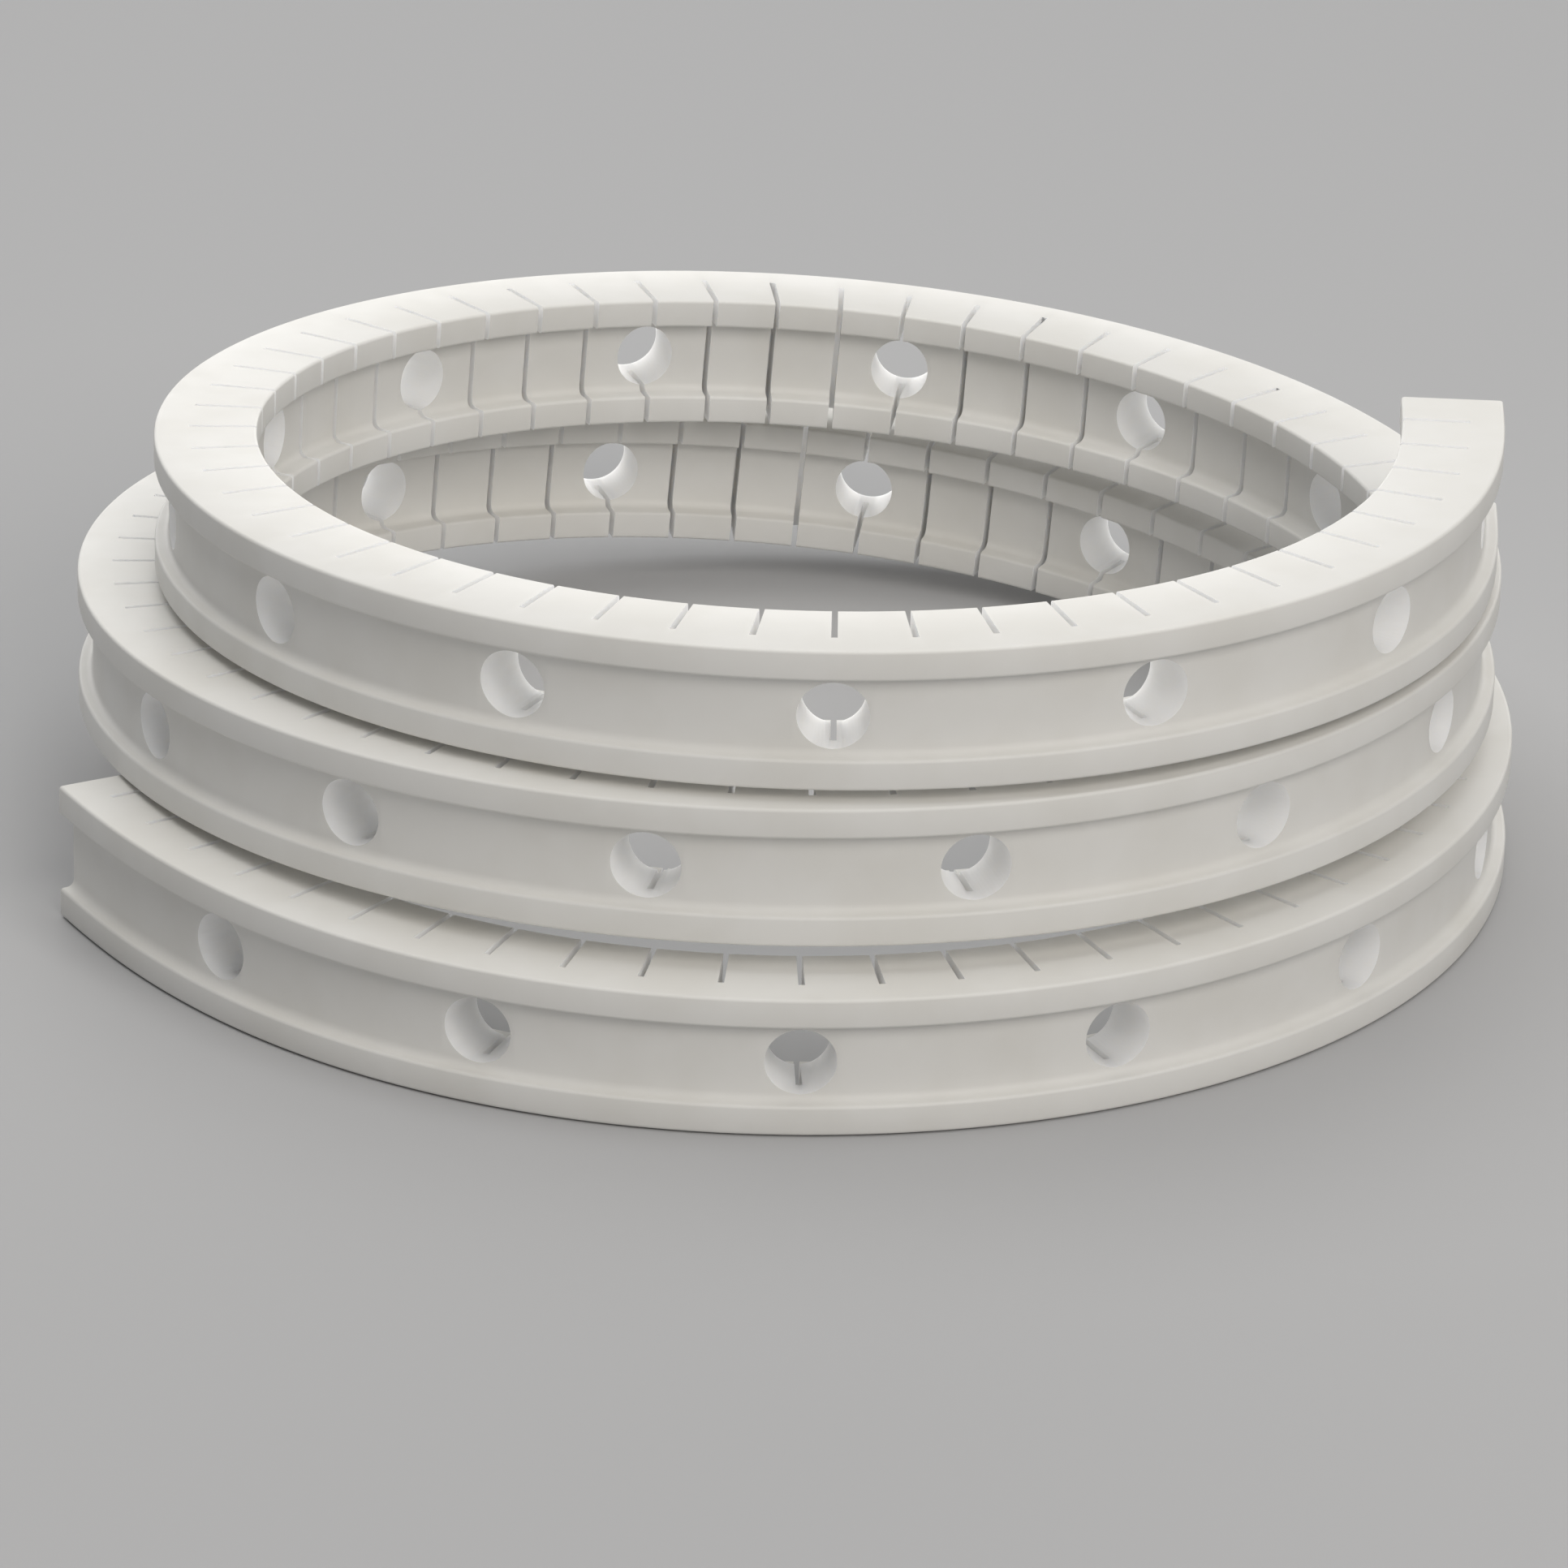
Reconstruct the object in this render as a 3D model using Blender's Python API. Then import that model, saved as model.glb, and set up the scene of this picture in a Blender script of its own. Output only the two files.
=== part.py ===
"""Coiled film reel strip, split at every fourth bending slot into hinged links.

Metres, +Z up, standing on the floor at z = 0.  The strip runs as a rising
coil.  Its run is measured in slots: slot 0 faces the front, and the number
grows up the coil, counterclockwise seen from above.
"""
import math

import bmesh
import bpy
from mathutils import Matrix, Vector

MM = 0.001

# ---------------------------------------------------------------- section
STRIP_HEIGHT = 28.8 * MM
FLANGE_THICKNESS = 6.2 * MM
OUTER_FLANGE_REACH = 7.2 * MM      # slot root out to the outer rim
INNER_FLANGE_REACH = 14.0 * MM     # slot root in to the inner rim
OUTER_CHANNEL_DEPTH = 3.0 * MM
INNER_CHANNEL_DEPTH = 4.6 * MM

# ------------------------------------------------------------ slots, holes
SLOT_PITCH = 15.6 * MM             # along the slot roots
SLOT_WIDTH = 1.3 * MM
SLOTS_PER_LINK = 4
HOLE_DIAMETER = 13.7 * MM
HOLE_SIDES = 20
FIRST_HOLE_SLOT = -8
LINK_COUNT = 34
BOTTOM_END_SLOT = -12
BOTTOM_END_TRIM = 6.2 * MM         # sawn off short of the slot places at the two ends
TOP_END_TRIM = 2.0 * MM
HINGE_OFFSET = 3.0 * MM            # slot root out to the bending axis
HINGE_GAP = 0.3 * MM               # cut through the thin skin at a hinge

# -------------------------------------------------------------- coil shape
HEADING_AT_SLOT_ZERO = 2.55        # degrees, 0 runs along +X
# degrees turned per slot at these slots, straight-line between them
BEND_STATIONS = (-12, -10, -6, 0, 18, 36, 54, 72, 90, 108, 122, 124, 126)
BEND_PER_SLOT = (1.5, 4.3, 6.2, 6.1, 6.01, 6.4, 6.2, 6.65, 6.77, 6.56, 7.2, 5.5, 0.0)
# millimetres climbed per slot at these slots; the first turn lies flat
RISE_STATIONS = (-12, 18, 23, 36, 48, 60, 72, 84, 96, 108, 118, 126)
RISE_PER_SLOT = (0.0, 0.0, 1.1, 1.25, 0.78, 0.0, 0.13, 0.93, 1.2, 0.47, -0.1, 0.0)
STEPS_PER_SLOT = 8

PLASTIC_COLOUR = (0.83, 0.82, 0.78, 1.0)
PLASTIC_ROUGHNESS = 0.45
CUT_MARGIN = 2.0 * MM

TOP_END_SLOT = FIRST_HOLE_SLOT + SLOTS_PER_LINK * (LINK_COUNT - 1) + SLOTS_PER_LINK // 2
ROOT_LINK = LINK_COUNT // 2


def blend_between(stations, values, slot):
    """Straight-line value at a slot."""
    for low, high, start, end in zip(stations, stations[1:], values, values[1:]):
        if slot <= high:
            return start + (end - start) * (slot - low) / (high - low)
    return values[-1]


def trace_coil():
    """Position, heading and height of the slot roots along the strip."""
    step = 1.0 / STEPS_PER_SLOT
    count = (TOP_END_SLOT - BOTTOM_END_SLOT) * STEPS_PER_SLOT
    rows = [(0.0, 0.0, 0.0, 0.0)]
    for index in range(count):
        middle = BOTTOM_END_SLOT + (index + 0.5) * step
        x, y, z, heading = rows[-1]
        turn = math.radians(blend_between(BEND_STATIONS, BEND_PER_SLOT, middle)) * step
        rise = blend_between(RISE_STATIONS, RISE_PER_SLOT, middle) * MM * step
        along = heading + turn / 2
        x += math.cos(along) * SLOT_PITCH * step
        y += math.sin(along) * SLOT_PITCH * step
        rows.append((x, y, z + rise, heading + turn))
    zero_row = rows[-BOTTOM_END_SLOT * STEPS_PER_SLOT]
    spin = math.radians(HEADING_AT_SLOT_ZERO) - zero_row[3]
    turned = []
    for x, y, z, heading in rows:
        spun_x = x * math.cos(spin) - y * math.sin(spin)
        spun_y = x * math.sin(spin) + y * math.cos(spin)
        turned.append((spun_x, spun_y, z, heading + spin))
    rim = [rim_point(row) for row in turned]
    centre_x = (min(p[0] for p in rim) + max(p[0] for p in rim)) / 2
    centre_y = (min(p[1] for p in rim) + max(p[1] for p in rim)) / 2
    return [(x - centre_x, y - centre_y, z, heading) for x, y, z, heading in turned]


def rim_point(row):
    """Outer rim of the strip beside one traced row."""
    x, y, _, heading = row
    return (
        x + math.sin(heading) * OUTER_FLANGE_REACH,
        y - math.cos(heading) * OUTER_FLANGE_REACH,
    )


COIL = trace_coil()


def coil_row(slot):
    """Traced row at any slot, whole or part."""
    place = (slot - BOTTOM_END_SLOT) * STEPS_PER_SLOT
    index = min(max(int(place), 0), len(COIL) - 2)
    share = place - index
    low, high = COIL[index], COIL[index + 1]
    return tuple(a + (b - a) * share for a, b in zip(low, high))


def strip_point(slot, outward, height):
    """World point beside a slot root, outward from the coil and up the strip."""
    x, y, z, heading = coil_row(slot)
    return Vector((
        x + math.sin(heading) * outward,
        y - math.cos(heading) * outward,
        z + height,
    ))


def section_profile():
    """Corners of the H section as (outward, height)."""
    low = FLANGE_THICKNESS
    high = STRIP_HEIGHT - FLANGE_THICKNESS
    outer_rim = OUTER_FLANGE_REACH
    outer_web = OUTER_FLANGE_REACH - OUTER_CHANNEL_DEPTH
    inner_rim = -INNER_FLANGE_REACH
    inner_web = INNER_CHANNEL_DEPTH - INNER_FLANGE_REACH
    return [
        (inner_rim, 0.0), (outer_rim, 0.0), (outer_rim, low), (outer_web, low),
        (outer_web, high), (outer_rim, high), (outer_rim, STRIP_HEIGHT),
        (inner_rim, STRIP_HEIGHT), (inner_rim, high), (inner_web, high),
        (inner_web, low), (inner_rim, low),
    ]


def link_ends(number):
    """First and last slot of a link; the first link keeps the bottom end."""
    last = FIRST_HOLE_SLOT + SLOTS_PER_LINK * (number - 1) + SLOTS_PER_LINK // 2
    first = last - SLOTS_PER_LINK
    if number == 1:
        first = BOTTOM_END_SLOT
    return first, last


def mesh_object(name, build):
    """New object from a bmesh filled in by build."""
    shell = bmesh.new()
    build(shell)
    bmesh.ops.recalc_face_normals(shell, faces=shell.faces)
    mesh = bpy.data.meshes.new(name)
    shell.to_mesh(mesh)
    shell.free()
    made = bpy.data.objects.new(name, mesh)
    bpy.context.scene.collection.objects.link(made)
    return made


def add_swept_section(shell, first, last):
    """H section run through every slot from first to last."""
    low_trim = BOTTOM_END_TRIM if first == BOTTOM_END_SLOT else HINGE_GAP / 2
    high_trim = TOP_END_TRIM if last == TOP_END_SLOT else HINGE_GAP / 2
    stations = list(range(first, last + 1))
    stations[0] += low_trim / SLOT_PITCH
    stations[-1] -= high_trim / SLOT_PITCH
    rings = []
    for slot in stations:
        corners = [strip_point(slot, out, height) for out, height in section_profile()]
        rings.append([shell.verts.new(corner) for corner in corners])
    for ring, following in zip(rings, rings[1:]):
        for index in range(len(ring)):
            after = (index + 1) % len(ring)
            shell.faces.new((ring[index], ring[after], following[after], following[index]))
    shell.faces.new(rings[0])
    shell.faces.new(reversed(rings[-1]))


def add_slot_block(shell, slot):
    """Block that saws one slot in from the inner side."""
    heading = coil_row(slot)[3]
    depth = INNER_FLANGE_REACH + CUT_MARGIN
    tall = STRIP_HEIGHT + 2 * CUT_MARGIN
    place = strip_point(slot, -depth / 2, STRIP_HEIGHT / 2)
    size = Matrix.Diagonal((SLOT_WIDTH, depth, tall, 1.0))
    spot = Matrix.Translation(place) @ Matrix.Rotation(heading, 4, "Z") @ size
    bmesh.ops.create_cube(shell, size=1.0, matrix=spot)


def add_hole_drill(shell, slot):
    """Round bar that bores one hole straight through the web."""
    heading = coil_row(slot)[3]
    length = OUTER_FLANGE_REACH + INNER_FLANGE_REACH + 2 * CUT_MARGIN
    outward = (OUTER_FLANGE_REACH - INNER_FLANGE_REACH) / 2
    place = strip_point(slot, outward, STRIP_HEIGHT / 2)
    lay_down = Matrix.Rotation(math.pi / 2, 4, "X")
    half_side = Matrix.Rotation(math.pi / HOLE_SIDES, 4, "Z")
    spot = Matrix.Translation(place) @ Matrix.Rotation(heading, 4, "Z") @ lay_down @ half_side
    bmesh.ops.create_cone(
        shell, cap_ends=True, segments=HOLE_SIDES, matrix=spot, depth=length,
        radius1=HOLE_DIAMETER / 2, radius2=HOLE_DIAMETER / 2,
    )


def cut_away(body, cutter):
    """Take the cutter out of the body for good."""
    cut = body.modifiers.new("cut", "BOOLEAN")
    cut.operation = "DIFFERENCE"
    cut.solver = "EXACT"
    cut.object = cutter
    bpy.context.view_layer.objects.active = body
    bpy.ops.object.modifier_apply(modifier=cut.name)
    bpy.data.objects.remove(cutter)


def link_slots(first, last):
    """Slots cut into a link, its shared end slots included."""
    return [slot for slot in range(first, last + 1)
            if BOTTOM_END_SLOT < slot < TOP_END_SLOT]


def link_origin(number):
    """Where a link turns: the hinge on the side of the root link."""
    first, last = link_ends(number)
    if number > ROOT_LINK:
        return first
    if number < ROOT_LINK:
        return last
    return (first + last) / 2


def link_name(number):
    """Node name of a link."""
    if number == 1:
        return "link_01_bottom_end"
    if number == LINK_COUNT:
        return "link_%02d_top_end" % number
    return "link_%02d" % number


def plastic(name):
    """Own plain white plastic for one link."""
    made = bpy.data.materials.new("plastic_" + name)
    made.use_nodes = True
    shader = made.node_tree.nodes["Principled BSDF"]
    shader.inputs["Base Color"].default_value = PLASTIC_COLOUR
    shader.inputs["Roughness"].default_value = PLASTIC_ROUGHNESS
    return made


def settle_origin(body, number):
    """Put the object's origin on its hinge, turned to the strip's heading."""
    slot = link_origin(number)
    outward = HINGE_OFFSET if number != ROOT_LINK else 0.0
    place = strip_point(slot, outward, 0.0)
    heading = coil_row(slot)[3]
    frame = Matrix.Translation(place) @ Matrix.Rotation(heading, 4, "Z")
    body.data.transform(frame.inverted())
    body.location = place
    body.rotation_euler = (0.0, 0.0, heading)


def build_link(number):
    """One rigid length of the strip with its slots and its hole."""
    first, last = link_ends(number)
    name = link_name(number)
    body = mesh_object(name, lambda shell: add_swept_section(shell, first, last))

    def add_slots(shell):
        for slot in link_slots(first, last):
            add_slot_block(shell, slot)

    hole_slot = last - SLOTS_PER_LINK // 2
    cut_away(body, mesh_object("slot_cutter", add_slots))
    cut_away(body, mesh_object("hole_cutter", lambda shell: add_hole_drill(shell, hole_slot)))
    settle_origin(body, number)
    body.data.materials.clear()
    body.data.materials.append(plastic(name))


for leftover in list(bpy.data.objects):
    bpy.data.objects.remove(leftover)
for link_number in range(1, LINK_COUNT + 1):
    build_link(link_number)
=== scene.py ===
import math

import bpy
import numpy as np
from mathutils import Matrix, Vector


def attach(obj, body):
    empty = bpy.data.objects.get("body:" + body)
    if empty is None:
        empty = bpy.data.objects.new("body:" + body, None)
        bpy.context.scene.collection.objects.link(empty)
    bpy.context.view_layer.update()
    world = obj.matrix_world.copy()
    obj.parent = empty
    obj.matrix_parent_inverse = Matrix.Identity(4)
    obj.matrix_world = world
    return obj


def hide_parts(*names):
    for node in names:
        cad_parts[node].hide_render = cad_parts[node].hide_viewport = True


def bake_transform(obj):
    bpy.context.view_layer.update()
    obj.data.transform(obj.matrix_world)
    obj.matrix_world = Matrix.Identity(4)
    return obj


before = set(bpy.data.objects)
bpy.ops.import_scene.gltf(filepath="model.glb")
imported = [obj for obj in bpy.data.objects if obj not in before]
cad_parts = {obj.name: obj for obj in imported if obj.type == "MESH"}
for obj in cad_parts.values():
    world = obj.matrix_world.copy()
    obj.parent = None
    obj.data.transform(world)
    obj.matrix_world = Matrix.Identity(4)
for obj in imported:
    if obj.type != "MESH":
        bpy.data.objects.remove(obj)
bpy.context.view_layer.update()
print("frame loaded:", len(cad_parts), "links")

mm = 0.001
tiny = 0.001 * mm     # how near a corner has to be to count as lying on a face

# The strip's own shape, straight as it was before it was coiled.
stripShape = {
    "height": 28.8 * mm,
    "outerReach": 7.2 * mm,       # slot root out to the outer rim
    "innerReach": 14.0 * mm,      # slot root in to the inner rim
    "flange": 6.2 * mm,
    "outerChannel": 3.0 * mm,
    "innerChannel": 4.6 * mm,
    "rimRounding": 0.7 * mm,
    "channelFillet": 1.6 * mm,
    "roundingSteps": 4,
    "slotPitch": 15.6 * mm,
    "slotWidth": 1.3 * mm,
    "holeDiameter": 13.7 * mm,
    "holeSides": 56,
    "holeEdge": 0.45 * mm,
    "sawnEdge": 0.12 * mm,
    "cutterSpare": 2 * mm,        # how far a saw or drill reaches past the strip
    "divisions": 8,               # cross divisions for each slot, so it bends smoothly
    "sharpFrom": 50,              # degrees; edges this sharp are broken
    "smoothBelow": 35,            # degrees; faces this close are shaded as one
}

# How the strip is coiled. Slot 0 faces the front, and the count grows up the coil.
coilShape = {
    "bottomEnd": -12,
    "bottomTrim": 6.2 * mm,       # sawn off short of the slot places at the two ends
    "topTrim": 2.0 * mm,
    "firstHole": -8,
    "slotsPerLink": 4,
    "headingAtZero": 2.55,
    "bendAt": (-12, -10, -6, 0, 18, 36, 54, 72, 90, 108, 122, 124, 126),
    # degrees a slot
    "bend": (1.5, 4.3, 6.2, 6.1, 6.01, 6.4, 6.2, 6.65, 6.77, 6.56, 7.2, 5.5, 0),
    "riseAt": (-12, 18, 23, 36, 48, 60, 72, 84, 96, 108, 118, 126),
    "rise": (0, 0, 1.1, 1.25, 0.78, 0, 0.13, 0.93, 1.2, 0.47, -0.1, 0),        # mm a slot
    "hingeOffset": 3.0 * mm,      # slot root out to a link's hinge line, where hingePoint takes its points
    "seam": 0.4 * mm,             # past the middle of a hinge slot, where two pieces meet
}

plasticLook = {
    "colour": (0.80, 0.79, 0.76),
    "shade": (0.765, 0.752, 0.715),
    "shadeSize": 22 * mm,
    "roughness": (0.5, 0.64),
    "roughnessSize": 6 * mm,
    "grainSize": 0.35 * mm,
    "grainDepth": 0.012 * mm,
    "grainStrength": 0.5,
    "refraction": 1.48,
    # paler than the strip's own colour: painted glow on the sawn and drilled faces
    "slotPaintedGlowColour": (0.97, 0.965, 0.95, 1),
    "slotGlow": 1.0,              # light that comes through the plastic at a slot or a hole
    "slotGlowReach": 9.0 * mm,
}

linkCount = len(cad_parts)
topEnd = coilShape["firstHole"] + coilShape["slotsPerLink"] * (linkCount - 1) + 2


# A few steps that come up again and again in edit mode.
def dropSelection():
    if bpy.context.object and bpy.context.object.mode == "EDIT":
        bpy.ops.object.mode_set(mode="OBJECT")
    bpy.ops.object.select_all(action="DESELECT")


def startEditing(part):
    dropSelection()
    part.select_set(True)
    bpy.context.view_layer.objects.active = part
    bpy.ops.object.mode_set(mode="EDIT")


def pickWhere(part, kind, test):
    bpy.ops.mesh.select_all(action="DESELECT")
    bpy.ops.object.mode_set(mode="OBJECT")
    for item in getattr(part.data, kind):
        item.select = test(item)
    bpy.ops.object.mode_set(mode="EDIT")


def cutAcross(place, facing):
    bpy.ops.mesh.select_all(action="SELECT")
    bpy.ops.mesh.bisect(plane_co=place, plane_no=facing)


# One link is modelled straight, along X from its hole, with its slots cut in from +Y.
def drawSection(start):
    shape = stripShape
    depth = shape["outerReach"] + shape["innerReach"]
    middle = (shape["innerReach"] - shape["outerReach"]) / 2
    dropSelection()
    bpy.ops.mesh.primitive_plane_add(size=1, location=(start, middle, shape["height"] / 2),
                                     rotation=(0, math.pi / 2, 0))
    section = bpy.context.object
    section.scale = (shape["height"], depth, 1)
    bpy.ops.object.transform_apply(location=True, rotation=True, scale=True)
    outerWeb = shape["outerChannel"] - shape["outerReach"]
    innerWeb = shape["innerReach"] - shape["innerChannel"]
    low = shape["flange"]
    high = shape["height"] - shape["flange"]
    startEditing(section)
    for height in (low, high):
        cutAcross((start, 0, height), (0, 0, 1))
    for inward in (outerWeb, innerWeb):
        cutAcross((start, inward, 0), (0, 1, 0))
    bpy.ops.mesh.select_mode(type="FACE")
    pickWhere(section, "polygons", lambda face: low < face.center.z < high
              and not outerWeb < face.center.y < innerWeb)
    bpy.ops.mesh.delete(type="FACE")
    bpy.ops.mesh.select_mode(type="VERT")
    bpy.ops.mesh.select_all(action="SELECT")
    bpy.ops.mesh.dissolve_limited(angle_limit=math.radians(1))
    webSides = (outerWeb, innerWeb)
    pickWhere(section, "vertices", lambda corner: any(abs(corner.co.y - side) < tiny for side in webSides))
    bpy.ops.mesh.bevel(offset=shape["channelFillet"], segments=shape["roundingSteps"],
                       affect="VERTICES")
    rims = (-shape["outerReach"], shape["innerReach"])
    pickWhere(section, "vertices", lambda corner: any(abs(corner.co.y - side) < tiny for side in rims))
    bpy.ops.mesh.bevel(offset=shape["rimRounding"], segments=shape["roundingSteps"],
                       affect="VERTICES")
    return section


def cutWith(part, cutter):
    dropSelection()
    part.select_set(True)
    bpy.context.view_layer.objects.active = part
    cut = part.modifiers.new("cut", "BOOLEAN")
    cut.operation = "DIFFERENCE"
    cut.solver = "EXACT"
    cut.object = cutter
    bpy.ops.object.modifier_apply(modifier=cut.name)
    bpy.data.objects.remove(cutter)


def sawSlot(part, place):
    shape = stripShape
    spare = shape["cutterSpare"]
    deep = shape["innerReach"] + spare
    dropSelection()
    bpy.ops.mesh.primitive_cube_add(size=1, location=(place, deep / 2, shape["height"] / 2))
    saw = bpy.context.object
    saw.scale = (shape["slotWidth"], deep, shape["height"] + 2 * spare)
    bpy.ops.object.transform_apply(location=True, rotation=True, scale=True)
    cutWith(part, saw)


def drillHole(part):
    shape = stripShape
    middle = (shape["innerReach"] - shape["outerReach"]) / 2
    length = shape["innerReach"] + shape["outerReach"] + 2 * shape["cutterSpare"]
    dropSelection()
    bpy.ops.mesh.primitive_cylinder_add(vertices=shape["holeSides"], radius=shape["holeDiameter"] / 2,
                                        depth=length, location=(0, middle, shape["height"] / 2),
                                        rotation=(math.pi / 2, 0, 0))
    drill = bpy.context.object
    bpy.ops.object.transform_apply(location=True, rotation=True, scale=True)
    cutWith(part, drill)


def roundHole(part):
    shape = stripShape
    outerWeb = shape["outerChannel"] - shape["outerReach"]
    innerWeb = shape["innerReach"] - shape["innerChannel"]
    radius = shape["holeDiameter"] / 2

    def onRim(edge):
        for index in edge.vertices:
            corner = part.data.vertices[index].co
            offCentre = math.hypot(corner.x, corner.z - shape["height"] / 2)
            onFace = min(abs(corner.y - outerWeb), abs(corner.y - innerWeb)) < 10 * tiny
            if abs(offCentre - radius) > 20 * tiny or not onFace:
                return False
        return True

    startEditing(part)
    bpy.ops.mesh.select_mode(type="EDGE")
    pickWhere(part, "edges", onRim)
    bpy.ops.mesh.bevel(offset=shape["holeEdge"], segments=3, affect="EDGES", clamp_overlap=True)


def breakSharpEdges(part):
    startEditing(part)
    bpy.ops.mesh.select_mode(type="EDGE")
    bpy.ops.mesh.select_all(action="DESELECT")
    bpy.ops.mesh.edges_select_sharp(sharpness=math.radians(stripShape["sharpFrom"]))
    bpy.ops.mesh.bevel(offset=stripShape["sawnEdge"], segments=1, affect="EDGES",
                       clamp_overlap=True)


def trimAt(part, place, keepAbove):
    startEditing(part)
    bpy.ops.mesh.select_all(action="SELECT")
    bpy.ops.mesh.bisect(plane_co=(place, 0, 0), plane_no=(1, 0, 0), use_fill=True,
                        clear_inner=keepAbove, clear_outer=not keepAbove)
    bpy.ops.object.mode_set(mode="OBJECT")


def makeStraightLink(name, fromSlot, toSlot, openBelow, openAbove):
    pitch = stripShape["slotPitch"]
    spare = 0.5                            # pitches drawn past the seam, then trimmed off
    start = fromSlot - spare if openBelow else fromSlot + coilShape["bottomTrim"] / pitch
    end = toSlot + spare if openAbove else toSlot - coilShape["topTrim"] / pitch
    link = drawSection(start * pitch)
    link.name = name
    steps = round((end - start) * stripShape["divisions"])
    startEditing(link)
    bpy.ops.mesh.select_all(action="SELECT")
    along = ((end - start) * pitch / steps, 0, 0)
    for _ in range(steps):
        bpy.ops.mesh.extrude_region_move(TRANSFORM_OT_translate={"value": along})
    bpy.ops.mesh.select_all(action="SELECT")
    bpy.ops.mesh.normals_make_consistent(inside=False)
    drillHole(link)
    roundHole(link)
    dropSelection()
    for slot in range(fromSlot, toSlot + 1):
        if start < slot < end:
            sawSlot(link, slot * pitch)
    breakSharpEdges(link)
    bpy.ops.object.mode_set(mode="OBJECT")
    if openBelow:
        trimAt(link, fromSlot * pitch + coilShape["seam"], True)
    if openAbove:
        trimAt(link, toSlot * pitch + coilShape["seam"], False)
    startEditing(link)
    bpy.ops.mesh.select_all(action="SELECT")
    bpy.ops.mesh.remove_doubles(threshold=tiny)
    bpy.ops.mesh.normals_make_consistent(inside=False)
    bpy.ops.object.mode_set(mode="OBJECT")
    bpy.ops.object.shade_smooth_by_angle(angle=math.radians(stripShape["smoothBelow"]))
    return link


# The line of the slot roots, which the straight links are bent onto.
def traceCoil():
    step = 1 / stripShape["divisions"]
    count = round((topEnd - coilShape["bottomEnd"]) / step)
    middles = coilShape["bottomEnd"] + (np.arange(count) + 0.5) * step
    turns = np.radians(np.interp(middles, coilShape["bendAt"], coilShape["bend"])) * step
    rises = np.interp(middles, coilShape["riseAt"], coilShape["rise"]) * mm * step
    slots = coilShape["bottomEnd"] + np.arange(count + 1) * step
    heading = np.concatenate(([0], np.cumsum(turns)))
    heading += math.radians(coilShape["headingAtZero"]) - np.interp(0, slots, heading)
    along = (heading[:-1] + heading[1:]) / 2
    run = stripShape["slotPitch"] * step
    x = np.concatenate(([0], np.cumsum(np.cos(along) * run)))
    y = np.concatenate(([0], np.cumsum(np.sin(along) * run)))
    rimX = x + np.sin(heading) * stripShape["outerReach"]
    rimY = y - np.cos(heading) * stripShape["outerReach"]
    x -= (rimX.min() + rimX.max()) / 2
    y -= (rimY.min() + rimY.max()) / 2
    z = np.concatenate(([0], np.cumsum(rises)))
    return slots, np.column_stack((x, y, z, heading))


coilSlots, coilRows = traceCoil()


def bendOntoCoil(points, holeSlot):
    slots = holeSlot + points[:, 0] / stripShape["slotPitch"]
    rows = np.column_stack([np.interp(slots, coilSlots, coilRows[:, i]) for i in range(4)])
    climb = np.interp(slots, coilShape["riseAt"], coilShape["rise"]) * mm / stripShape["slotPitch"]
    lean = np.arctan(climb)                # each slot stands square to the strip's run
    heading = rows[:, 3]
    outward = -points[:, 1]
    up = points[:, 2] - stripShape["height"] / 2
    placed = rows[:, :3].copy()
    placed[:, 0] += np.sin(heading) * outward - np.sin(lean) * np.cos(heading) * up
    placed[:, 1] += -np.cos(heading) * outward - np.sin(lean) * np.sin(heading) * up
    placed[:, 2] += stripShape["height"] / 2 + np.cos(lean) * up
    return placed


def hingePoint(slot, past):
    point = np.array([[past, -coilShape["hingeOffset"], stripShape["height"] / 2]])
    return Vector(bendOntoCoil(point, slot)[0])


def layLink(straight, name, holeSlot):
    link = straight.copy()
    link.data = straight.data.copy()
    link.name = name
    link.data.name = name
    bpy.context.scene.collection.objects.link(link)
    points = np.zeros(len(link.data.vertices) * 3)
    link.data.vertices.foreach_get("co", points)
    link.data.vertices.foreach_set("co", bendOntoCoil(points.reshape(-1, 3), holeSlot).ravel())
    link.data.update()
    return link


# The strip is one white plastic. Where it is sawn or drilled, it lets some light through, and those faces
# are painted a paler white as a painted glow.
def noiseOn(material, size, detail):
    nodes = material.node_tree.nodes
    place = nodes.new("ShaderNodeTexCoord")
    noise = nodes.new("ShaderNodeTexNoise")
    noise.inputs["Scale"].default_value = 1 / size
    noise.inputs["Detail"].default_value = detail
    material.node_tree.links.new(place.outputs["Object"], noise.inputs["Vector"])
    return noise.outputs["Fac"]


def addGrain(material):
    nodes = material.node_tree.nodes
    links = material.node_tree.links
    shader = nodes["Principled BSDF"]
    rough = nodes.new("ShaderNodeMapRange")
    rough.inputs["To Min"].default_value = plasticLook["roughness"][0]
    rough.inputs["To Max"].default_value = plasticLook["roughness"][1]
    links.new(noiseOn(material, plasticLook["roughnessSize"], 4), rough.inputs["Value"])
    links.new(rough.outputs["Result"], shader.inputs["Roughness"])
    bump = nodes.new("ShaderNodeBump")
    bump.inputs["Strength"].default_value = plasticLook["grainStrength"]
    bump.inputs["Distance"].default_value = plasticLook["grainDepth"]
    links.new(noiseOn(material, plasticLook["grainSize"], 2), bump.inputs["Height"])
    links.new(bump.outputs["Normal"], shader.inputs["Normal"])
    shader.inputs["IOR"].default_value = plasticLook["refraction"]


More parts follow.
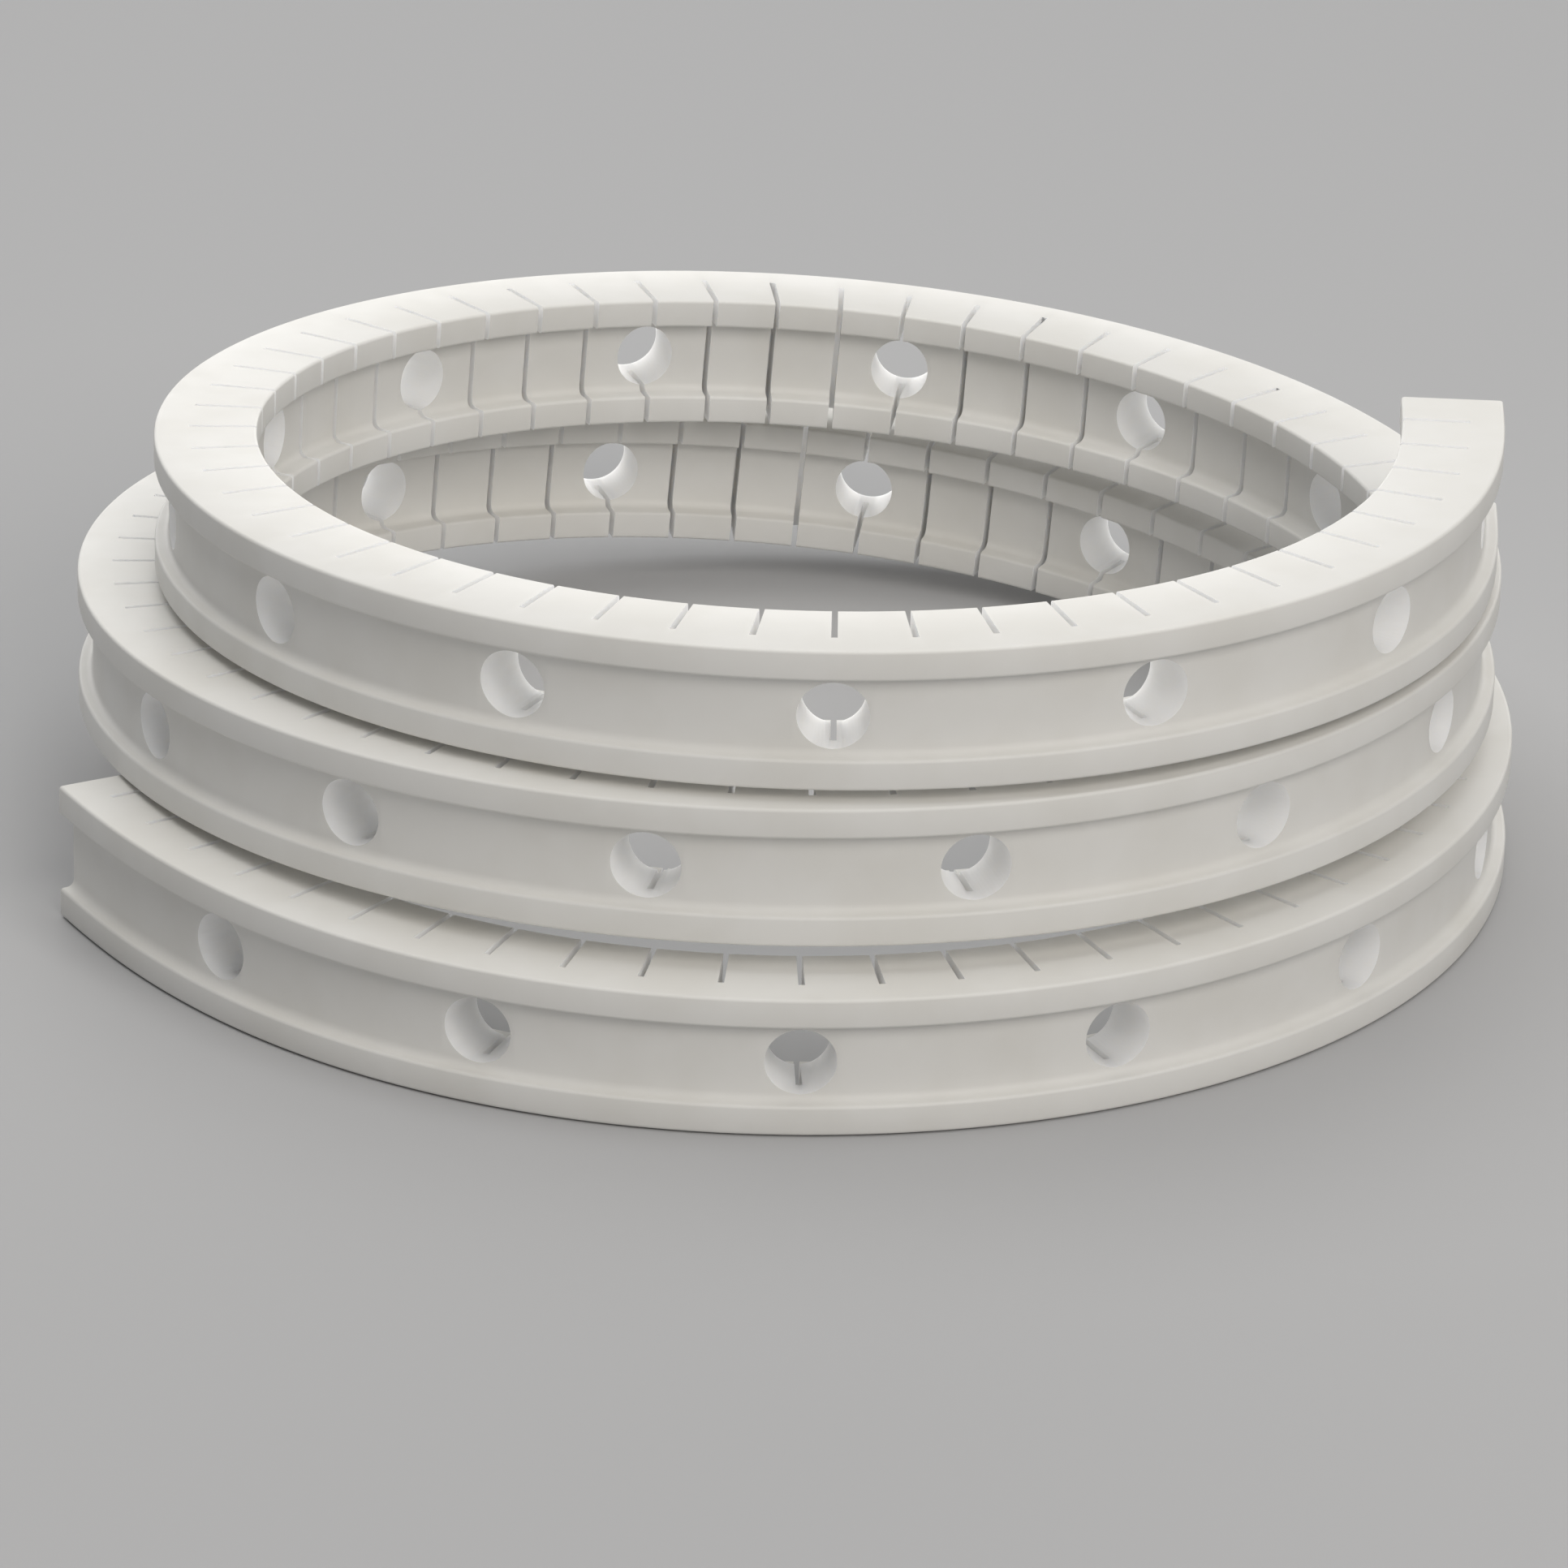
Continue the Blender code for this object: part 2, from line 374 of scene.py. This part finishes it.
def makePlastic():
    plastic = bpy.data.materials.new("whitePlastic")
    plastic.use_nodes = True
    nodes = plastic.node_tree.nodes
    links = plastic.node_tree.links
    tint = nodes.new("ShaderNodeValToRGB")
    tint.color_ramp.elements[0].position = 0.35
    tint.color_ramp.elements[0].color = plasticLook["shade"] + (1,)
    tint.color_ramp.elements[1].position = 0.6
    tint.color_ramp.elements[1].color = plasticLook["colour"] + (1,)
    links.new(noiseOn(plastic, plasticLook["shadeSize"], 3), tint.inputs["Fac"])
    links.new(tint.outputs["Color"], nodes["Principled BSDF"].inputs["Base Color"])
    addGrain(plastic)
    return plastic


def makeSlotPlastic():
    slotPlastic = bpy.data.materials.new("whitePlasticInSlotPaintedGlow")
    slotPlastic.use_nodes = True
    shader = slotPlastic.node_tree.nodes["Principled BSDF"]
    # the paler colour is a painted glow; the subsurface below carries real light through
    shader.inputs["Base Color"].default_value = plasticLook["slotPaintedGlowColour"]
    shader.inputs["Subsurface Weight"].default_value = plasticLook["slotGlow"]
    shader.inputs["Subsurface Radius"].default_value = (1.0, 0.97, 0.92)
    shader.inputs["Subsurface Scale"].default_value = plasticLook["slotGlowReach"]
    addGrain(slotPlastic)
    return slotPlastic


# slot and hole faces get the paler material, a painted glow
def paintCuts(link):
    pitch = stripShape["slotPitch"]
    halfSlot = stripShape["slotWidth"] / 2 + tiny
    for face in link.data.polygons:
        fromSlot = abs(face.center.x - round(face.center.x / pitch) * pitch)
        standing = abs(face.normal.z) < 0.5 and not (face.normal.y > 0.9 and face.center.y > 1 * mm)
        inSlot = fromSlot < halfSlot and face.center.y > -10 * tiny and standing
        fromHole = math.hypot(face.center.x, face.center.z - stripShape["height"] / 2)
        inHole = fromHole < stripShape["holeDiameter"] / 2 + 10 * tiny and abs(face.normal.y) < 0.5
        face.material_index = 1 if inSlot or inHole else 0


plastic = makePlastic()
slotPlastic = makeSlotPlastic()
middleLink = makeStraightLink("middleLink", -2, 2, True, True)
firstLink = makeStraightLink("firstLink", -4, 2, False, True)
lastLink = makeStraightLink("lastLink", -2, 2, True, False)
for straight in (middleLink, firstLink, lastLink):
    straight.data.materials.clear()
    straight.data.materials.append(plastic)
    straight.data.materials.append(slotPlastic)
    paintCuts(straight)
    print("straight link modelled:", straight.name, len(straight.data.polygons), "faces")

nodeNames = sorted(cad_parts)
for number, node in enumerate(nodeNames, 1):
    straight = middleLink
    if number == 1:
        straight = firstLink
    if number == linkCount:
        straight = lastLink
    holeSlot = coilShape["firstHole"] + coilShape["slotsPerLink"] * (number - 1)
    piece = layLink(straight, "strip_%02d" % number, holeSlot)
    if number < linkCount:
        hingeSlot = holeSlot + 2
        hingePoint(hingeSlot, -stripShape["slotWidth"] / 2)
        hingePoint(hingeSlot, coilShape["seam"])
        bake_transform(piece)
    else:
        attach(piece, node)
    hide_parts(node)
for straight in (middleLink, firstLink, lastLink):
    bpy.data.objects.remove(straight)
print("strip coiled:", linkCount, "pieces")


# Floor, light and camera.
setLook = {
    "floorSize": 8,
    "floorDrop": 0.3 * mm,        # keeps the floor clear of the strip's underside
    "floorColour": (0.46, 0.46, 0.465, 1),
    "floorRoughness": 0.85,
    "floorShine": 0.15,
    "lightsAimAt": (0, 0, 0.05),
    "worldColour": (0.95, 0.97, 1.0, 1),
    "worldStrength": 0.22,
    # each light: place, width, depth, watts, colour
    "topKey": ((-0.1, 0.25, 1.6), 1.8, 1.8, 17, (1.0, 0.995, 0.98)),
    "windowBehind": ((-0.2, 3.0, 0.35), 4.0, 0.7, 60, (1.0, 0.985, 0.96)),
    "frontFill": ((0.9, -1.7, 1.5), 1.6, 1.2, 26, (1.0, 0.96, 0.91)),
}

cameraSetup = {
    "place": (-0.001092, -1.449034, 0.625855),
    "elevation": 23.099,
    "roll": -1.506,
    "lens": 171.07,
    "sensor": 36,
}


def layFloor():
    dropSelection()
    bpy.ops.mesh.primitive_plane_add(size=setLook["floorSize"], location=(0, 0, -setLook["floorDrop"]))
    floor = bpy.context.object
    floor.name = "floor"
    paint = bpy.data.materials.new("floorPaint")
    paint.use_nodes = True
    shader = paint.node_tree.nodes["Principled BSDF"]
    shader.inputs["Base Color"].default_value = setLook["floorColour"]
    shader.inputs["Roughness"].default_value = setLook["floorRoughness"]
    shader.inputs["Specular IOR Level"].default_value = setLook["floorShine"]
    floor.data.materials.append(paint)


def hangLight(name):
    place, width, depth, watts, colour = setLook[name]
    lamp = bpy.data.lights.new(name, "AREA")
    lamp.shape = "RECTANGLE"
    lamp.size = width
    lamp.size_y = depth
    lamp.energy = watts
    lamp.color = colour
    holder = bpy.data.objects.new(name, lamp)
    holder.location = place
    towards = Vector(setLook["lightsAimAt"]) - Vector(place)
    holder.rotation_euler = towards.to_track_quat("-Z", "Y").to_euler()
    bpy.context.scene.collection.objects.link(holder)


def placeCamera():
    setup = cameraSetup
    elevation = math.radians(setup["elevation"])
    roll = math.radians(setup["roll"])
    forward = Vector((0, math.cos(elevation), -math.sin(elevation)))
    level = Vector((1, 0, 0))
    upright = Vector((0, math.sin(elevation), math.cos(elevation)))
    right = level * math.cos(roll) - upright * math.sin(roll)
    up = level * math.sin(roll) + upright * math.cos(roll)
    lensData = bpy.data.cameras.new("camera")
    lensData.lens = setup["lens"]
    lensData.sensor_width = setup["sensor"]
    lensData.clip_start = 0.05
    camera = bpy.data.objects.new("camera", lensData)
    camera.matrix_world = Matrix((
        (right.x, up.x, -forward.x, setup["place"][0]),
        (right.y, up.y, -forward.y, setup["place"][1]),
        (right.z, up.z, -forward.z, setup["place"][2]),
        (0, 0, 0, 1),
    ))
    bpy.context.scene.collection.objects.link(camera)
    bpy.context.scene.camera = camera


layFloor()
for name in ("topKey", "windowBehind", "frontFill"):
    hangLight(name)
world = bpy.data.worlds.new("studio")
world.use_nodes = True
world.node_tree.nodes["Background"].inputs["Color"].default_value = setLook["worldColour"]
world.node_tree.nodes["Background"].inputs["Strength"].default_value = setLook["worldStrength"]
bpy.context.scene.world = world
bpy.context.scene.view_settings.view_transform = "Standard"
placeCamera()
print("floor, lights and camera placed")
